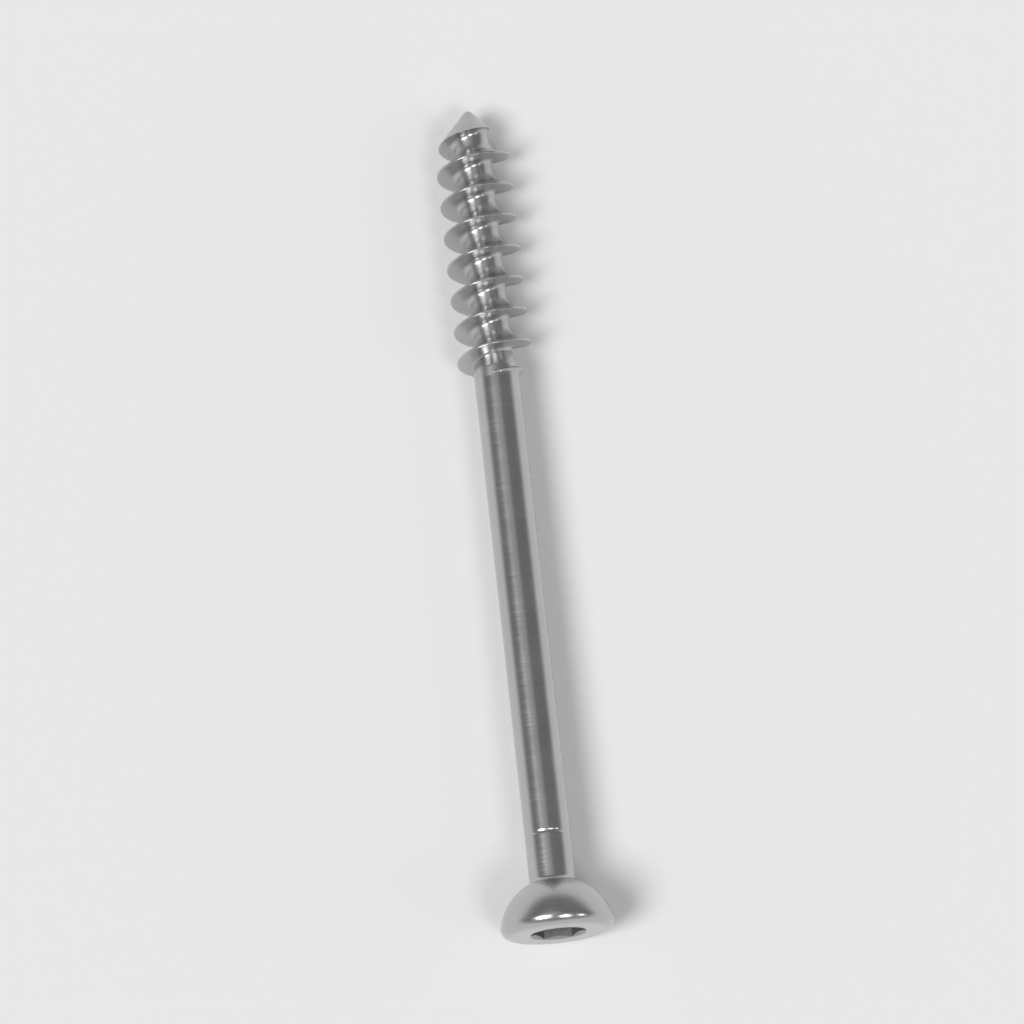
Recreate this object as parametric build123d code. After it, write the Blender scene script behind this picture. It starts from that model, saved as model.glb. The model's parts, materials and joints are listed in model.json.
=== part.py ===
# Cancellous bone screw with a short deep thread, turned from one bar of stainless steel.
# It lies on a flat surface as it comes to rest: on the rim of its head and a crest of its thread.
# The tip points towards +Y and the head towards -Y. Lengths are millimetres, angles degrees.
from build123d import *
import os
from math import atan, ceil, cos, degrees, radians, sin, sqrt, tan

# Whole screw
overall_length = 45.0  # tip to the top of the head
thread_length = 15.0  # tip to the end of the thread

# Thread: a deep asymmetric form for spongy bone
thread_diameter = 4.0
core_diameter = 1.9
thread_pitch = 1.75
crest_width = 0.1
load_flank_angle = 5.0  # off square to the axis, on the side that faces the head
lead_flank_angle = 25.0  # off square to the axis, on the side that faces the tip
load_root_radius = 0.3
lead_root_radius = 0.8
end_chamfer_angle = 45.0  # where the crests come down to the shank
root_runout_angle = 15.0  # where the roots come up to the shank
tip_angle = 80.0  # whole angle of the pointed end
tip_radius = 0.3

# Shank
shank_diameter = 2.4
turned_line_below_head = 5.2  # top of the head to the fine line round the shank
turned_line_width = 0.2
turned_line_depth = 0.03

# Head
head_diameter = 5.9
seat_over_head = 0.05  # the spherical seat's radius, over the head's
head_edge_radius = 0.5
neck_radius = 0.3

# Hexagon socket
hexagon_across_flats = 2.5
hexagon_depth = 1.8
drill_diameter = 2.4  # the drilled hole that the hexagon was broached into
drill_point_angle = 120.0
mouth_diameter = 3.0
mouth_angle = 120.0

joining_overlap = 0.2  # how deep one turned body is buried in another, and a cutter stands clear
underside = -90.0  # the direction round the axis that comes to lie on the floor

thread_radius = thread_diameter / 2
core_radius = core_diameter / 2
shank_radius = shank_diameter / 2
head_radius = head_diameter / 2
head_flat_radius = head_radius - head_edge_radius
seat_radius = head_radius + seat_over_head

# Heights are measured up the axis from the tip while the screw stands on it.
rim_height = overall_length - head_edge_radius
seat_center_height = rim_height + sqrt(seat_radius**2 - head_radius**2)
turned_line_height = overall_length - turned_line_below_head

tip_slope = radians(tip_angle / 2)
tip_round_height = tip_radius * (1 - sin(tip_slope))
tip_round_radius = tip_radius * cos(tip_slope)
full_thread_height = tip_round_height + (thread_radius - tip_round_radius) / tan(tip_slope)

end_chamfer_length = (thread_radius - shank_radius) / tan(radians(end_chamfer_angle))


def turned(*edges):
    """A solid of revolution about Z. The edges run from the axis, and back to it, in the X-Z plane."""
    outline = Curve() + list(edges)
    closing = Line(outline @ 1, outline @ 0)
    return revolve(Plane.XZ * make_face(outline + closing), Axis.Z)


def head_and_shank():
    """Everything above the thread, with a cone under the shank that the thread's roots run out on."""
    root_top = thread_length - end_chamfer_length / 2
    buried_radius = core_radius - joining_overlap
    buried_height = root_top - (shank_radius - buried_radius) / tan(radians(root_runout_angle))

    fillet_center_radius = shank_radius + neck_radius
    fillet_reach = seat_radius + neck_radius
    fillet_height = seat_center_height - sqrt(fillet_reach**2 - fillet_center_radius**2)
    seat_share = seat_radius / fillet_reach
    seat_start = (
        fillet_center_radius * seat_share,
        seat_center_height + (fillet_height - seat_center_height) * seat_share,
    )

    shank = Polyline(
        (0, buried_height),
        (buried_radius, buried_height),
        (shank_radius, root_top),
        (shank_radius, turned_line_height - turned_line_width / 2),
        (shank_radius - turned_line_depth, turned_line_height),
        (shank_radius, turned_line_height + turned_line_width / 2),
        (shank_radius, fillet_height),
    )
    neck = TangentArc(shank @ 1, seat_start, tangent=(0, 1))
    seat = TangentArc(seat_start, (head_radius, rim_height), tangent=neck % 1)
    edge = TangentArc(seat @ 1, (head_flat_radius, overall_length), tangent=(0, 1))
    top = Line(edge @ 1, (0, overall_length))
    return turned(shank, neck, seat, edge, top)


def thread_blank():
    """The bar end before the thread is cut: a rounded point, a cylinder, and a chamfer into the shank."""
    buried_radius = shank_radius - joining_overlap
    buried_height = thread_length + joining_overlap / tan(radians(end_chamfer_angle))
    point = TangentArc((0, 0), (tip_round_radius, tip_round_height), tangent=(1, 0))
    body = Polyline(
        (tip_round_radius, tip_round_height),
        (thread_radius, full_thread_height),
        (thread_radius, thread_length - end_chamfer_length),
        (buried_radius, buried_height),
        (0, buried_height),
    )
    return turned(point, body)


def thread_grooves():
    """The groove between the crests, one solid for each turn. The first full crest is on the underside."""
    load_slope = tan(radians(load_flank_angle))
    lead_slope = tan(radians(lead_flank_angle))
    clear = crest_width / (load_slope + lead_slope) / 2  # past the crests, and short of the next turn
    depth = thread_radius - core_radius
    groove_width = thread_pitch - crest_width
    flanks = FilletPolyline(
        (thread_radius + clear, -clear * load_slope),
        (core_radius, depth * load_slope),
        (core_radius, groove_width - depth * lead_slope),
        (thread_radius + clear, groove_width + clear * lead_slope),
        radius=[load_root_radius, lead_root_radius],
    )
    outline = Plane.XZ * make_face(flanks + Line(flanks @ 1, flanks @ 0))

    turns_below = ceil(full_thread_height / thread_pitch) + 1
    start = full_thread_height + crest_width - turns_below * thread_pitch
    turns = ceil((thread_length - start) / thread_pitch) + 1
    path = Helix(thread_pitch, thread_pitch, thread_radius)
    one_turn = Rot(0, 0, underside) * sweep(outline, path=path, is_frenet=True)
    return [Pos(0, 0, start + turn * thread_pitch) * one_turn for turn in range(turns)]


def hexagon_socket():
    """The cutter for the driver's socket: a broached hexagon, its drill point and its chamfered mouth."""
    floor = overall_length - hexagon_depth
    hexagon = RegularPolygon(hexagon_across_flats / 2, side_count=6, major_radius=False)
    broach = Pos(0, 0, floor) * extrude(hexagon, hexagon_depth + joining_overlap)

    drill_radius = drill_diameter / 2
    drill_point = floor - drill_radius / tan(radians(drill_point_angle / 2))
    drill = turned(Polyline((0, drill_point), (drill_radius, floor), (0, floor)))

    mouth_slope = tan(radians(mouth_angle / 2))
    mouth_top = overall_length + joining_overlap
    mouth_top_radius = mouth_diameter / 2 + joining_overlap * mouth_slope
    mouth_point = mouth_top - mouth_top_radius / mouth_slope
    mouth = turned(Polyline((0, mouth_point), (mouth_top_radius, mouth_top), (0, mouth_top)))
    return broach + drill + mouth


def laid_down(screw):
    """Turned from standing on its tip to lying with its rim and a crest on Z = 0, centred along Y."""
    lean = atan((head_radius - thread_radius) / (rim_height - full_thread_height))
    lift = head_radius * cos(lean) - rim_height * sin(lean)
    head_end = rim_height * cos(lean) + head_flat_radius * sin(lean) + head_edge_radius
    tip_end = tip_radius * cos(lean) - tip_radius
    middle = (head_end + tip_end) / 2
    return Pos(0, middle, lift) * Rot(90 - degrees(lean), 0, 0) * screw


threaded_end = thread_blank() - thread_grooves()
bone_screw = laid_down(head_and_shank() + threaded_end - hexagon_socket())

os.makedirs("parts", exist_ok=True)
export_step(bone_screw, "parts/bone_screw.step")
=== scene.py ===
import bmesh
import bpy
import json
import math
from mathutils import Matrix, Vector


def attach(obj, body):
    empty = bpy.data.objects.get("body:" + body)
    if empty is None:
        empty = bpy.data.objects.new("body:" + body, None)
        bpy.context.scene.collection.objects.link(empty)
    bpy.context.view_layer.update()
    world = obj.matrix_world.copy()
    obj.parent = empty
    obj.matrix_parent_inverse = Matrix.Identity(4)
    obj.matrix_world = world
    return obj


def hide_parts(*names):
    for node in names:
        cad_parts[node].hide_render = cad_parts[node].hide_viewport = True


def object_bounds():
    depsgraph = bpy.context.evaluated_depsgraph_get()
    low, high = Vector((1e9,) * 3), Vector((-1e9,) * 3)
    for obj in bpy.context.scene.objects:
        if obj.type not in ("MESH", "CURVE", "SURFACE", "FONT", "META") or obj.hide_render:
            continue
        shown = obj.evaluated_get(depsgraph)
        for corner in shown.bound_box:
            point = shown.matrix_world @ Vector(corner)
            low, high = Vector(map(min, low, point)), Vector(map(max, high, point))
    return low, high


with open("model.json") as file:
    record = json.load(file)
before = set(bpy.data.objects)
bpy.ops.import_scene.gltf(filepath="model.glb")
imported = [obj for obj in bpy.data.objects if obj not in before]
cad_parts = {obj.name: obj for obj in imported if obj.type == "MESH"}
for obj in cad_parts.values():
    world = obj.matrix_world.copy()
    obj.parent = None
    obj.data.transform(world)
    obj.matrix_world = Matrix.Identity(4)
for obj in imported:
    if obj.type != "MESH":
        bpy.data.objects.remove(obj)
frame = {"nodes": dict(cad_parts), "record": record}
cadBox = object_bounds()
print("frame loaded:", ", ".join(sorted(frame["nodes"])))

scene = bpy.context.scene
mounts = {mount["name"]: mount for mount in frame["record"]["mounts"]}
mm = 0.001  # the screw is drawn in millimetres, and the frame is in metres
fullTurn = 360.0  # degrees
sidesOfHexagon = 6
opaque = 1.0  # the fourth number of a colour

screw = {  # millimetres and degrees
    "coreDiameter": 1.9,
    "pitch": 1.75,
    "crestWidth": 0.1,
    "crestRounding": 0.03,
    "loadFlank": 5.0,  # off square to the axis, on the side that faces the head
    "leadFlank": 25.0,  # off square to the axis, on the side that faces the tip
    "loadRootRadius": 0.3,
    "leadRootRadius": 0.8,
    "endChamfer": 45.0,  # where the crests come down to the shank
    "rootRunout": 15.0,  # where the roots come up to the shank
    "tipAngle": 80.0,
    "tipRadius": 0.3,
    "shankDiameter": 2.4,
    "lineBelowHead": 5.2,  # from the top of the head to the fine line round the shank
    "lineWidth": 0.2,
    "lineDepth": 0.03,
    "lineLip": 0.02,  # from the line to the next ring of the shank, which keeps its edges crisp
    "neckRadius": 0.3,
    "headEdge": 0.5,
    "mouthDiameter": 3.0,
    "mouthAngle": 120.0,
    "mouthRounding": 0.15,
    "hexAcrossFlats": 2.5,
    "hexDepth": 1.8,
    "drillDiameter": 2.4,
    "drillPointAngle": 120.0,
    "underside": -90.0,  # the way that the first full crest faces, down to the floor
    "columns": 120,  # facets round the screw: a multiple of 12, to meet the hexagon's corners
    "facetError": 0.001,  # how far a facet may stray from a true arc
    "longestFacet": 0.2,
    "longestShankFacet": 1.0,
    "tipRing": 0.7,  # height of the last round ring before the thread
    "shankRing": 0.15,  # from the end of the thread to the first round ring after it
    "ringClearance": 0.03,  # nearest that the thread's rows come to those rings
    "creaseSteps": 24,  # halvings that find a crease
    "sharpAngle": 34.0,  # edges that turn more than this look sharp
}

# the axis and the main sizes, from the frame
tip = Vector(mounts["bone_thread"]["pos_m"])
headTop = Vector(mounts["driver_socket"]["pos_m"])
length = (headTop - tip).length / mm
threadRadius = mounts["bone_thread"]["dims"]["r_mm"]
threadLength = mounts["bone_thread"]["dims"]["length_mm"]
seatRadius = mounts["spherical_underside"]["dims"]["r_mm"]
headRadius = (cadBox[1].x - cadBox[0].x) / 2 / mm

coreRadius = screw["coreDiameter"] / 2
shankRadius = screw["shankDiameter"] / 2
mouthRadius = screw["mouthDiameter"] / 2
flatRadius = headRadius - screw["headEdge"]
tipSlope = math.radians(screw["tipAngle"] / 2)
chamferSlope = math.tan(math.radians(screw["endChamfer"]))
runoutSlope = math.tan(math.radians(screw["rootRunout"]))
mouthSlope = math.tan(math.radians(screw["mouthAngle"] / 2))
tipRoundEdge = screw["tipRadius"] * math.cos(tipSlope)  # radius where the tip's round meets its cone

# heights up the axis, from the tip
tipRoundTop = screw["tipRadius"] * (1 - math.sin(tipSlope))
fullThread = tipRoundTop + (threadRadius - tipRoundEdge) / math.tan(tipSlope)
chamferStart = threadLength - (threadRadius - shankRadius) / chamferSlope
rootTop = (chamferStart + threadLength) / 2
shankStart = threadLength + screw["shankRing"]
turnedLine = length - screw["lineBelowHead"]
rimHeight = length - screw["headEdge"]

# middles of the seat's and the neck's arcs, as (radius, height)
seatCenter = Vector((0, rimHeight + math.sqrt(seatRadius**2 - headRadius**2)))
neckCenter = Vector((shankRadius + screw["neckRadius"], 0))
neckCenter.y = seatCenter.y - math.sqrt((seatRadius + screw["neckRadius"]) ** 2 - neckCenter.x**2)

columnAngles = []
for column in range(screw["columns"]):
    columnAngles.append(math.radians(screw["underside"] + fullTurn * column / screw["columns"]))


# outlines are lists of (radius, height)
def arcPoints(center, radius, start, end):
    turn = math.radians(end - start)
    steps = math.ceil(abs(turn) / math.acos(1 - screw["facetError"] / radius) / 2)
    angles = [math.radians(start) + turn * step / steps for step in range(steps + 1)]
    return [center + radius * Vector((math.cos(angle), math.sin(angle))) for angle in angles]


def roundedPath(corners, radii):
    # a line through the corners, each rounded by its own radius
    path = [corners[0]]
    for before, corner, after, radius in zip(corners, corners[1:], corners[2:], radii):
        wayIn = (before - corner).normalized()
        wayOut = (after - corner).normalized()
        half = wayIn.angle(wayOut) / 2
        center = corner + (wayIn + wayOut).normalized() * radius / math.sin(half)
        first = corner + wayIn * radius / math.tan(half) - center
        last = corner + wayOut * radius / math.tan(half) - center
        start = math.degrees(math.atan2(first.y, first.x))
        turn = -math.degrees(first.angle_signed(last))  # signed angles run clockwise
        path += arcPoints(center, radius, start, start + turn)
    return path + [corners[-1]]


def divided(path, longest):
    # extra points on the long straight runs
    points = [path[0]]
    for start, end in zip(path, path[1:]):
        parts = max(1, math.ceil((end - start).length / longest))
        points += [start.lerp(end, (part + 1) / parts) for part in range(parts)]
    return points


def pathLengths(path):
    lengths = [0.0]
    for start, end in zip(path, path[1:]):
        lengths.append(lengths[-1] + (end - start).length)
    return lengths


def tipOutline():
    # the rounded point and its cone, up to where the thread takes over
    center = Vector((0, screw["tipRadius"]))
    point = arcPoints(center, screw["tipRadius"], -fullTurn / 4, -math.degrees(tipSlope))
    cone = Vector((crestLimit(screw["tipRing"]), screw["tipRing"]))
    return divided(point + [cone], screw["longestFacet"])


def shankOutline():
    # the plain shank, and the line that a round-nosed tool turned in it
    half = screw["lineWidth"] / 2
    noseRadius = (half**2 + screw["lineDepth"] ** 2) / 2 / screw["lineDepth"]
    noseCenter = Vector((shankRadius - screw["lineDepth"] + noseRadius, turnedLine))
    spread = math.degrees(math.asin(half / noseRadius))
    line = arcPoints(noseCenter, noseRadius, fullTurn / 2 + spread, fullTurn / 2 - spread)
    heights = [shankStart, line[0].y - screw["lineLip"], line[-1].y + screw["lineLip"], neckCenter.y]
    plain = [Vector((shankRadius, height)) for height in heights]
    return divided(plain[:2] + line + plain[2:], screw["longestShankFacet"])


def headOutline():
    # neck, spherical seat, rounded rim and flat top, as far as the socket's mouth
    toSeat = seatCenter - neckCenter
    neckEnd = math.degrees(math.atan2(toSeat.y, toSeat.x))
    seatEnd = math.degrees(math.atan2(rimHeight - seatCenter.y, headRadius))
    neck = arcPoints(neckCenter, screw["neckRadius"], fullTurn / 2, neckEnd)
    seat = arcPoints(seatCenter, seatRadius, neckEnd - fullTurn / 2, seatEnd)
    rim = arcPoints(Vector((flatRadius, rimHeight)), screw["headEdge"], 0, fullTurn / 4)
    coneTip = Vector((0, length - mouthRadius / mouthSlope))
    top = roundedPath([rim[-1], Vector((mouthRadius, length)), coneTip], [screw["mouthRounding"]])
    return divided(neck + seat[1:] + rim[1:] + top[1:-1], screw["longestFacet"])


def socketRows():
    # broached walls and drilled floor, with a (radius, height) for each column, and the floor's middle
    floor = length - screw["hexDepth"]
    side = math.radians(fullTurn / sidesOfHexagon)
    walls = [screw["hexAcrossFlats"] / 2 / math.cos(angle % side - side / 2) for angle in columnAngles]
    edges = [Vector((wall, length - (mouthRadius - wall) / mouthSlope)) for wall in walls]
    feet = [Vector((wall, floor)) for wall in walls]
    steps = math.ceil(screw["hexDepth"] / screw["longestFacet"])
    rows = []
    for step in range(steps + 1):
        rows.append([edge.lerp(foot, step / steps) for edge, foot in zip(edges, feet)])
    drillRadius = screw["drillDiameter"] / 2
    drillPoint = Vector((0, floor - drillRadius / math.tan(math.radians(screw["drillPointAngle"] / 2))))
    cone = divided([Vector((drillRadius, floor)), drillPoint], screw["longestFacet"])
    rows += [[place] * len(columnAngles) for place in cone[:-1]]
    return rows, drillPoint


def threadProfile():
    # one turn of the groove, from the middle of a crest to just short of the middle of the next
    groove = screw["pitch"] - screw["crestWidth"]
    depth = threadRadius - coreRadius
    load = depth * math.tan(math.radians(screw["loadFlank"]))
    lead = depth * math.tan(math.radians(screw["leadFlank"]))
    corners = [
        Vector((threadRadius, -screw["crestWidth"] / 2)),
        Vector((threadRadius, 0)),
        Vector((coreRadius, load)),
        Vector((coreRadius, groove - lead)),
        Vector((threadRadius, groove)),
        Vector((threadRadius, groove + screw["crestWidth"] / 2)),
    ]
    crest = screw["crestRounding"]
    radii = [crest, screw["loadRootRadius"], screw["leadRootRadius"], crest]
    return divided(roundedPath(corners, radii), screw["longestFacet"])[:-1]


def crestLimit(height):
    # the turned blank: pointed end, full thread, chamfer into the shank
    point = tipRoundEdge + (height - tipRoundTop) * math.tan(tipSlope)
    chamfer = threadRadius - (height - chamferStart) * chamferSlope
    return min(threadRadius, point, chamfer)


def rootLimit(height):
    # the cone that lifts the roots up to the shank
    return shankRadius - max(0, rootTop - height) * runoutSlope


def threadSurface(groove):
    # the radius that is left here, and which cut left it
    blank = crestLimit(groove.y)
    root = rootLimit(groove.y)
    radius = min(blank, groove.x)
    if root > radius:
        return root, "runout"
    if blank < groove.x:
        return blank, "blank"
    return radius, "groove"


def snapToCreases(rows):
    # moves the nearer of two neighbours onto the crease between their two cuts
    for lower, upper in zip(rows, rows[1:]):
        if lower["cut"] == upper["cut"]:
            continue
        low = 0.0
        high = 1.0
        for step in range(screw["creaseSteps"]):
            middle = (low + high) / 2
            if threadSurface(lower["groove"].lerp(upper["groove"], middle))[1] == lower["cut"]:
                low = middle
            else:
                high = middle
        crease = lower["groove"].lerp(upper["groove"], low)
        nearer = lower if low + high < 1 else upper
        nearer["place"] = Vector((threadSurface(crease)[0], crease.y))


def threadRows(profile, rise):
    # the rows that one column of the thread passes through, numbered up the whole thread
    rows = []
    start = fullThread + screw["crestWidth"] + rise
    lowest = screw["tipRing"] + screw["ringClearance"]
    highest = shankStart - screw["ringClearance"]
    firstTurn = math.floor((lowest - start) / screw["pitch"]) - 1
    lastTurn = math.ceil((highest - start) / screw["pitch"])
    for turn in range(firstTurn, lastTurn + 1):
        for step, place in enumerate(profile):
            groove = Vector((place.x, start + place.y + turn * screw["pitch"]))
            if lowest < groove.y < highest:
                radius, cut = threadSurface(groove)
                row = {
                    "number": turn * len(profile) + step,
                    "groove": groove,
                    "place": Vector((radius, groove.y)),
                    "cut": cut,
                }
                rows.append(row)
    snapToCreases(rows)
    return rows


def addPoint(bm, place, angle):
    return bm.verts.new((place.x * math.cos(angle), place.x * math.sin(angle), place.y))


def addRing(bm, places):
    return [addPoint(bm, place, angle) for place, angle in zip(places, columnAngles)]


def addRings(bm, outline):
    return [addRing(bm, [place] * len(columnAngles)) for place in outline]


def addFace(bm, corners, finish):
    # a corner is a point, its share of a turn round the axis, and how far along the outline it is
    face = bm.faces.new([corner[0] for corner in corners])
    face.smooth = True
    face.material_index = list(steelFinishes).index(finish)
    for loop, corner in zip(face.loops, corners):
        loop[bm.loops.layers.uv.active].uv = corner[1:]
    return face


def addBands(bm, rings, lengths, finish):
    # four-cornered faces between each ring and the next
    count = len(columnAngles)
    for low, high, lowLength, highLength in zip(rings, rings[1:], lengths, lengths[1:]):
        for column in range(count):
            following = (column + 1) % count
            corners = [
                (low[column], column / count, lowLength),
                (low[following], (column + 1) / count, lowLength),
                (high[following], (column + 1) / count, highLength),
                (high[column], column / count, highLength),
            ]
            addFace(bm, corners, finish)


def addFan(bm, ring, ringLength, middle, middleLength, finish, atTip=False):
    # closes a ring with a point on the axis
    count = len(columnAngles)
    point = addPoint(bm, middle, 0)
    for column in range(count):
        corners = [
            (ring[column], column / count, ringLength),
            (ring[(column + 1) % count], (column + 1) / count, ringLength),
            (point, (column + 1 / 2) / count, middleLength),
        ]
        addFace(bm, corners[::-1] if atTip else corners, finish)


def ringCorner(point, neighbour):
    # a point of a round ring, mapped from the thread's point above or below it
    threadPoint, share, along = neighbour
    return point, share, along + point.co.z - threadPoint.co.z


def threadColumns(bm):
    # the thread's corners by row number, and at the end the first column again, a turn further on
    profile = threadProfile()
    perTurn = len(profile)
    lengths = pathLengths(profile + [profile[0] + Vector((0, screw["pitch"]))])
    columns = []
    for column, angle in enumerate(columnAngles):
        share = column / len(columnAngles)
        corners = {}
        for row in threadRows(profile, screw["pitch"] * share):
            turn, step = divmod(row["number"], perTurn)
            along = turn * lengths[-1] + lengths[step]
            corners[row["number"]] = (addPoint(bm, row["place"], angle), share, along)
        columns.append(corners)
    closing = {}
    for row, (point, share, along) in columns[0].items():
        closing[row - perTurn] = (point, share + 1, along - lengths[-1])
    return columns + [closing]


def addThread(bm, tipRing, shankRing):
    # rows climb with the thread, so that each crest and root is one clean line
    columns = threadColumns(bm)
    tipRing = tipRing + tipRing[:1]
    shankRing = shankRing + shankRing[:1]
    joins = []
    for column, (here, there) in enumerate(zip(columns, columns[1:])):
        for row in range(min(here), max(there)):
            addFace(bm, [here[row], there[row], there[row + 1], here[row + 1]], "threadSteel")
        below = [
            ringCorner(tipRing[column], here[min(here)]),
            ringCorner(tipRing[column + 1], there[min(there)]),
        ]
        below += [there[row] for row in range(min(there), min(here) + 1)]
        joins.append(addFace(bm, below + [here[min(here)]], "threadSteel"))
        above = [
            ringCorner(shankRing[column + 1], there[max(there)]),
            ringCorner(shankRing[column], here[max(here)]),
        ]
        above += [here[row] for row in range(max(here), max(there) - 1, -1)]
        joins.append(addFace(bm, above + [there[max(there)]], "threadSteel"))
    bmesh.ops.triangulate(bm, faces=joins)


def layDown():
    # from standing on its tip, in millimetres, to lying in the frame
    axis = (headTop - tip).normalized()
    side = Vector((1, 0, 0))
    turn = Matrix((side, axis.cross(side), axis)).transposed().to_4x4()
    return Matrix.Translation(tip) @ turn @ Matrix.Scale(mm, 4)


def buildScrew():
    bm = bmesh.new()
    bm.loops.layers.uv.new("toolPath")

    tipPath = tipOutline()
    tipLengths = pathLengths(tipPath)
    tipRings = addRings(bm, tipPath[1:])
    addFan(bm, tipRings[0], tipLengths[1], tipPath[0], tipLengths[0], "threadSteel", atTip=True)
    addBands(bm, tipRings, tipLengths[1:], "threadSteel")

    shankPath = shankOutline()
    shankRings = addRings(bm, shankPath)
    addBands(bm, shankRings, pathLengths(shankPath), "shankSteel")
    addThread(bm, tipRings[-1], shankRings[0])

    headPath = headOutline()
    headRings = shankRings[-1:] + addRings(bm, headPath[1:])
    addBands(bm, headRings, pathLengths(headPath), "headSteel")

    socketPlaces, socketMiddle = socketRows()
    socketRings = headRings[-1:] + [addRing(bm, places) for places in socketPlaces]
    socketLengths = pathLengths(headPath[-1:] + [places[0] for places in socketPlaces] + [socketMiddle])
    # the socket's walls and floor take the steel that is painted darker, as shade in the hollow
    addBands(bm, socketRings, socketLengths, "shadedSocketSteel")
    addFan(bm, socketRings[-1], socketLengths[-2], socketMiddle, socketLengths[-1], "shadedSocketSteel")

    mesh = bpy.data.meshes.new("bone_screw_polished")
    bm.to_mesh(mesh)
    bm.free()
    mesh.transform(layDown())
    mesh.set_sharp_from_angle(angle=math.radians(screw["sharpAngle"]))
    piece = bpy.data.objects.new("bone_screw_polished", mesh)
    scene.collection.objects.link(piece)
    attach(piece, "root")
    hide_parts("bone_screw")
    print("screw built:", len(mesh.vertices), "points,", len(mesh.polygons), "faces")
    return piece


# bright implant steel, with painted shade as a darker grey in the socket, and the marks that each tool left
# in it
brightSteel = (0.52, 0.52, 0.525)
steelFinishes = {
    "shankSteel": {
        "color": brightSteel,
        "roughness": (0.20, 0.30),
        "anisotropy": 0.4,
        "marks": (1.0, 9.0),  # for one turn round the axis, and for a millimetre along it
        "markStrength": 0.03,
        "clouds": 700.0,  # for a metre
    },
    "headSteel": {
        "color": brightSteel,
        "roughness": (0.20, 0.30),
        "anisotropy": 0.4,
        "marks": (1.0, 9.0),
        "markStrength": 0.08,
        "clouds": 700.0,
    },
    "threadSteel": {
        "color": brightSteel,
        "roughness": (0.27, 0.35),
        "anisotropy": 0.55,
        "marks": (3.0, 9.0),
        "markStrength": 0.05,
        "clouds": 900.0,
    },
    "shadedSocketSteel": {  # left rougher by the broach, and painted a darker grey as shade inside the hollow socket
        "color": (0.36, 0.36, 0.36),
        "roughness": (0.36, 0.50),
        "anisotropy": 0.1,
        "marks": (90.0, 1.2),
        "markStrength": 0.5,
        "clouds": 1200.0,
    },
}
steelGrain = {
    "metallic": 1.0,
    "markDepth": 0.015,  # millimetres
    "markDetail": 3.0,
    "cloudDetail": 4.0,
    "cloudShade": 0.07,  # how much lighter and darker the clouds make the steel
    "darkest": 0.3,  # the noise is nearly all between these two
    "lightest": 0.7,
    "glintTurn": 0.25,  # a quarter turn spreads the glints across the marks
}


def addNode(tree, kind, values):
    node = tree.nodes.new(kind)
    for socket, value in values.items():
        node.inputs[socket].default_value = value
    return node


def toolMarks(tree, look):
    # fine lines drawn out along the path of the tool
    asMapped = 1.0
    path = tree.nodes.new("ShaderNodeUVMap")
    path.uv_map = "toolPath"
    stretch = addNode(tree, "ShaderNodeMapping", {"Scale": (*look["marks"], asMapped)})
    marks = addNode(tree, "ShaderNodeTexNoise", {"Scale": asMapped, "Detail": steelGrain["markDetail"]})
    marks.noise_dimensions = "2D"
    tree.links.new(path.outputs["UV"], stretch.inputs["Vector"])
    tree.links.new(stretch.outputs["Vector"], marks.inputs["Vector"])
    return marks.outputs["Fac"]


def unevenPolish(tree, look):
    # soft clouds, where the steel is a little duller or brighter
    place = tree.nodes.new("ShaderNodeTexCoord")
    grain = {"Scale": look["clouds"], "Detail": steelGrain["cloudDetail"]}
    clouds = addNode(tree, "ShaderNodeTexNoise", grain)
    tree.links.new(place.outputs["Object"], clouds.inputs["Vector"])
    return clouds.outputs["Fac"]


def steelMaterial(name, look):
    material = bpy.data.materials.new(name)
    material.use_nodes = True
    tree = material.node_tree
    shader = tree.nodes["Principled BSDF"]
    shader.inputs["Metallic"].default_value = steelGrain["metallic"]
    shader.inputs["Anisotropic"].default_value = look["anisotropy"]
    shader.inputs["Anisotropic Rotation"].default_value = steelGrain["glintTurn"]
    marks = toolMarks(tree, look)
    clouds = unevenPolish(tree, look)

    tangent = tree.nodes.new("ShaderNodeTangent")
    tangent.direction_type = "UV_MAP"
    tangent.uv_map = "toolPath"
    tree.links.new(tangent.outputs["Tangent"], shader.inputs["Tangent"])

    darker = [part * (1 - steelGrain["cloudShade"]) for part in look["color"]]
    lighter = [part * (1 + steelGrain["cloudShade"]) for part in look["color"]]
    shade = tree.nodes.new("ShaderNodeMix")
    shade.data_type = "RGBA"
    shade.inputs["A"].default_value = (*darker, opaque)
    shade.inputs["B"].default_value = (*lighter, opaque)
    tree.links.new(clouds, shade.inputs["Factor"])
    tree.links.new(shade.outputs["Result"], shader.inputs["Base Color"])

    both = tree.nodes.new("ShaderNodeMix")  # half marks, half clouds
    both.data_type = "FLOAT"
    tree.links.new(marks, both.inputs["A"])
    tree.links.new(clouds, both.inputs["B"])
    span = {
        "From Min": steelGrain["darkest"],
        "From Max": steelGrain["lightest"],
        "To Min": look["roughness"][0],
        "To Max": look["roughness"][1],
    }
    roughness = addNode(tree, "ShaderNodeMapRange", span)
    tree.links.new(both.outputs["Result"], roughness.inputs["Value"])
    tree.links.new(roughness.outputs["Result"], shader.inputs["Roughness"])

    depth = {"Strength": look["markStrength"], "Distance": steelGrain["markDepth"] * mm}
    bump = addNode(tree, "ShaderNodeBump", depth)
    tree.links.new(marks, bump.inputs["Height"])
    tree.links.new(bump.outputs["Normal"], shader.inputs["Normal"])
    return material


floorLook = {
    "color": (0.86, 0.86, 0.855),
    "width": 24.0,  # metres, so that its edge is far off in low views
    "roughness": 0.9,
    "gloss": 0.15,
}


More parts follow.
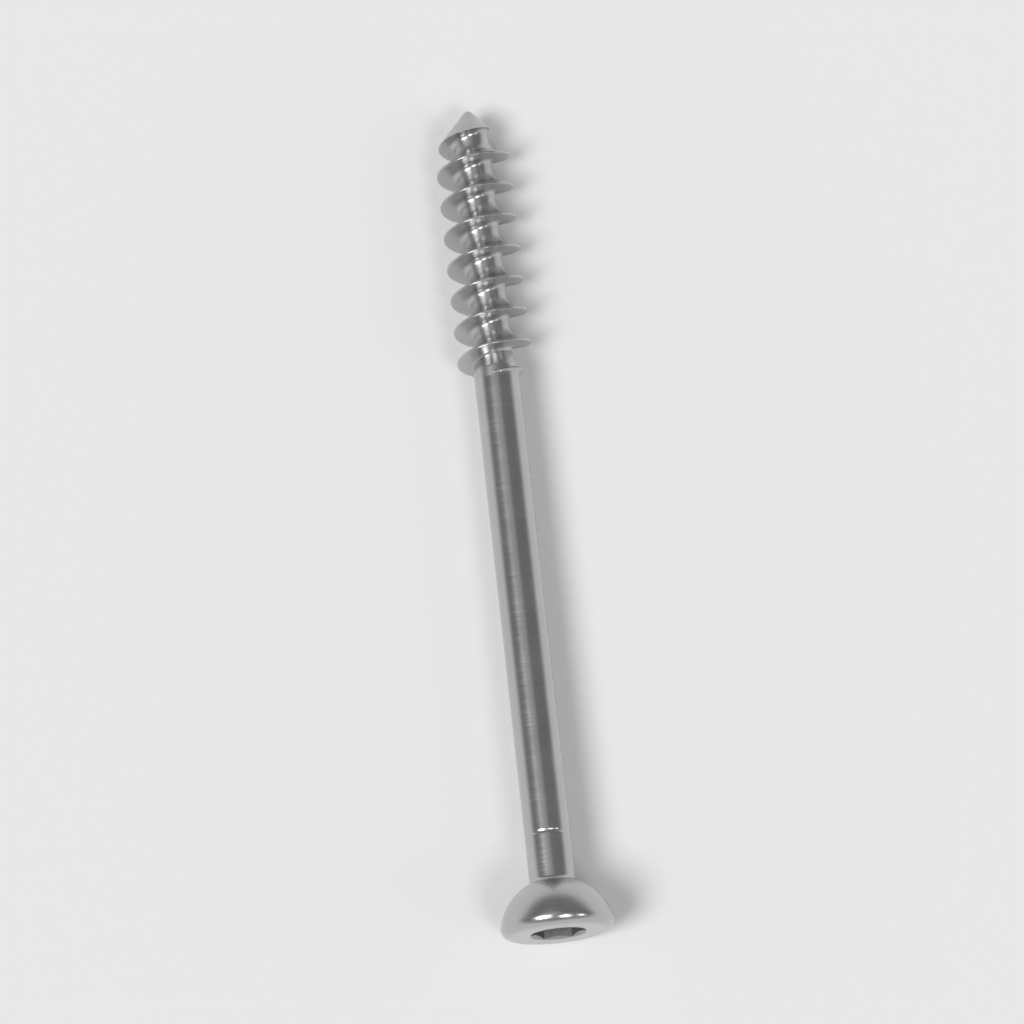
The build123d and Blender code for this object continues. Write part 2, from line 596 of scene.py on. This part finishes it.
def buildFloor():
    mesh = bpy.data.meshes.new("floor")
    bm = bmesh.new()
    bmesh.ops.create_grid(bm, x_segments=1, y_segments=1, size=floorLook["width"] / 2)
    bm.to_mesh(mesh)
    bm.free()
    floor = bpy.data.objects.new("floor", mesh)
    floor.location.z = cadBox[0].z
    scene.collection.objects.link(floor)
    material = bpy.data.materials.new("paleFloor")
    material.use_nodes = True
    shader = material.node_tree.nodes["Principled BSDF"]
    shader.inputs["Base Color"].default_value = (*floorLook["color"], opaque)
    shader.inputs["Roughness"].default_value = floorLook["roughness"]
    shader.inputs["Specular IOR Level"].default_value = floorLook["gloss"]
    mesh.materials.append(material)


sky = {
    "horizon": (0.80, 0.80, 0.80),
    "zenith": (0.22, 0.22, 0.223),
    "zenithFrom": 0.45,  # sine of the elevation above which all is ceiling
}


def buildSky():
    # pale walls all round, and a dim ceiling that the bright steel mirrors
    scene.world = bpy.data.worlds.new("studio")
    scene.world.use_nodes = True
    tree = scene.world.node_tree
    place = tree.nodes.new("ShaderNodeTexCoord")
    split = tree.nodes.new("ShaderNodeSeparateXYZ")
    height = addNode(tree, "ShaderNodeMapRange", {"From Max": sky["zenithFrom"]})
    height.interpolation_type = "SMOOTHSTEP"
    shade = tree.nodes.new("ShaderNodeMix")
    shade.data_type = "RGBA"
    shade.inputs["A"].default_value = (*sky["horizon"], opaque)
    shade.inputs["B"].default_value = (*sky["zenith"], opaque)
    tree.links.new(place.outputs["Generated"], split.inputs["Vector"])
    tree.links.new(split.outputs["Z"], height.inputs["Value"])
    tree.links.new(height.outputs["Result"], shade.inputs["Factor"])
    tree.links.new(shade.outputs["Result"], tree.nodes["Background"].inputs["Color"])


lamps = {  # the way to each from the screw, its width in degrees, and its watts on a square metre facing it
    "overheadSoft": {"toward": (-0.22, 0.28, 0.93), "width": 40.0, "strength": 0.08},
    "windowSide": {"toward": (-0.46, -0.28, 0.84), "width": 25.0, "strength": 1.75},
    "panelMiddle": {"toward": (0.25, -0.50, 0.83), "width": 18.0, "strength": 0.62},
    "panelRight": {"toward": (0.72, -0.40, 0.57), "width": 14.0, "strength": 0.16},
}


def buildLamps():
    for name, lamp in lamps.items():
        light = bpy.data.lights.new(name, "SUN")
        light.angle = math.radians(lamp["width"])
        light.energy = lamp["strength"]
        holder = bpy.data.objects.new(name, light)
        holder.location = Vector(lamp["toward"]).normalized()
        holder.rotation_euler = (-holder.location).to_track_quat("-Z", "Y").to_euler()
        scene.collection.objects.link(holder)


view = {  # degrees and metres
    "azimuth": -6.1,
    "elevation": 75.5,
    "distance": 0.28,
    "fill": 0.84,  # share of the picture's height that the screw takes up
    "nearest": 0.01,
    "farthest": 50.0,
}


def buildCamera():
    around = math.radians(view["azimuth"])
    up = math.radians(view["elevation"])
    back = Vector((math.sin(around) * math.cos(up), -math.cos(around) * math.cos(up), math.sin(up)))
    data = bpy.data.cameras.new("camera")
    data.lens = data.sensor_width * view["distance"] * view["fill"] / (length * mm)
    data.clip_start = view["nearest"]
    data.clip_end = view["farthest"]
    camera = bpy.data.objects.new("camera", data)
    camera.location = (cadBox[0] + cadBox[1]) / 2 + back * view["distance"]
    camera.rotation_euler = (-back).to_track_quat("-Z", "Y").to_euler()
    scene.collection.objects.link(camera)
    scene.camera = camera


piece = buildScrew()
for finish, look in steelFinishes.items():
    piece.data.materials.append(steelMaterial(finish, look))
print("steel finishes:", ", ".join(steelFinishes))

buildFloor()
buildSky()
buildLamps()
buildCamera()
scene.view_settings.view_transform = "Standard"
print("studio ready:", len(lamps), "lamps")

bpy.context.view_layer.update()
